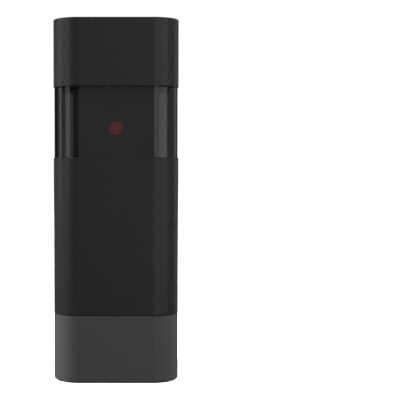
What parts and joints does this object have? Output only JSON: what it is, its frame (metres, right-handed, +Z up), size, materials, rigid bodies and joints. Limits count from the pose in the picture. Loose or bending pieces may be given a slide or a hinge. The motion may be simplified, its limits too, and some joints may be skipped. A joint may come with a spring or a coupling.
{
  "type": "infrared photocell",
  "caption": "Slim upright photocell in a rounded square plastic case, with a smoked window band all round and, behind it, an optic drum with a red lens that turns by hand.",
  "frame": {"origin": "middle of the foot's underside", "axes": "+Z up along the case, -Y to the front where the lens looks at rest, +Y to the wall"},
  "size_m": [0.038, 0.038, 0.1094],
  "materials": {
    "case_black": "fine spark-eroded texture, matt",
    "foot_grey": "smooth, satin",
    "smoked_window": "smoked and see-through, polished",
    "chassis_black": "moulded, matt",
    "drum_black": "moulded, matt",
    "lens_red": "dark red, polished",
    "diode_dark": "dark clear resin",
    "seal_rubber": "soft, matt",
    "lead_jacket": "soft, matt",
    "zinc_steel": "zinc plated",
    "board_green": "solder mask, satin",
    "terminal_grey": "moulded, satin",
    "relay_black": "moulded, glossy",
    "capacitor_can": "sleeved can",
    "chip_black": "moulded, matt",
    "led_red": "diffused red resin",
    "connector_black": "moulded, satin",
    "connector_white": "moulded, satin",
    "washer_nylon": "natural nylon"
  },
  "bodies": {
    "housing": {"foot_housing": "foot_grey", "body_sleeve": "case_black", "window_ring": "smoked_window", "top_cap": "case_black", "foot_seal": "seal_rubber", "lower_window_seal": "seal_rubber", "upper_window_seal": "seal_rubber", "hood_screws": "zinc_steel", "chassis": "chassis_black", "cable_grommet": "seal_rubber", "chassis_screws": "zinc_steel", "main_board": "board_green", "board_screws": "zinc_steel", "terminal_block": "terminal_grey", "terminal_screws": "zinc_steel", "relay": "relay_black", "smoothing_capacitor": "capacitor_can", "microcontroller": "chip_black", "bridge_rectifier": "chip_black", "status_led": "led_red", "mode_jumper": "connector_black", "lead_socket": "connector_white", "head_lead": "lead_jacket", "friction_washer": "washer_nylon"},
    "optic_drum": {"optic_head": "drum_black", "head_cover": "drum_black", "ir_lens": "lens_red", "ir_diode": "diode_dark", "optic_board": "board_green", "optic_board_screws": "zinc_steel", "head_plug": "connector_white", "head_clip": "zinc_steel"}
  },
  "joints": [
    {"name": "drum_turn", "type": "hinge", "parent": "housing", "child": "optic_drum", "pos_m": [0, 0, 0.078], "axis": [0, 0, 1], "range_deg": [-90, 90]}
  ]
}
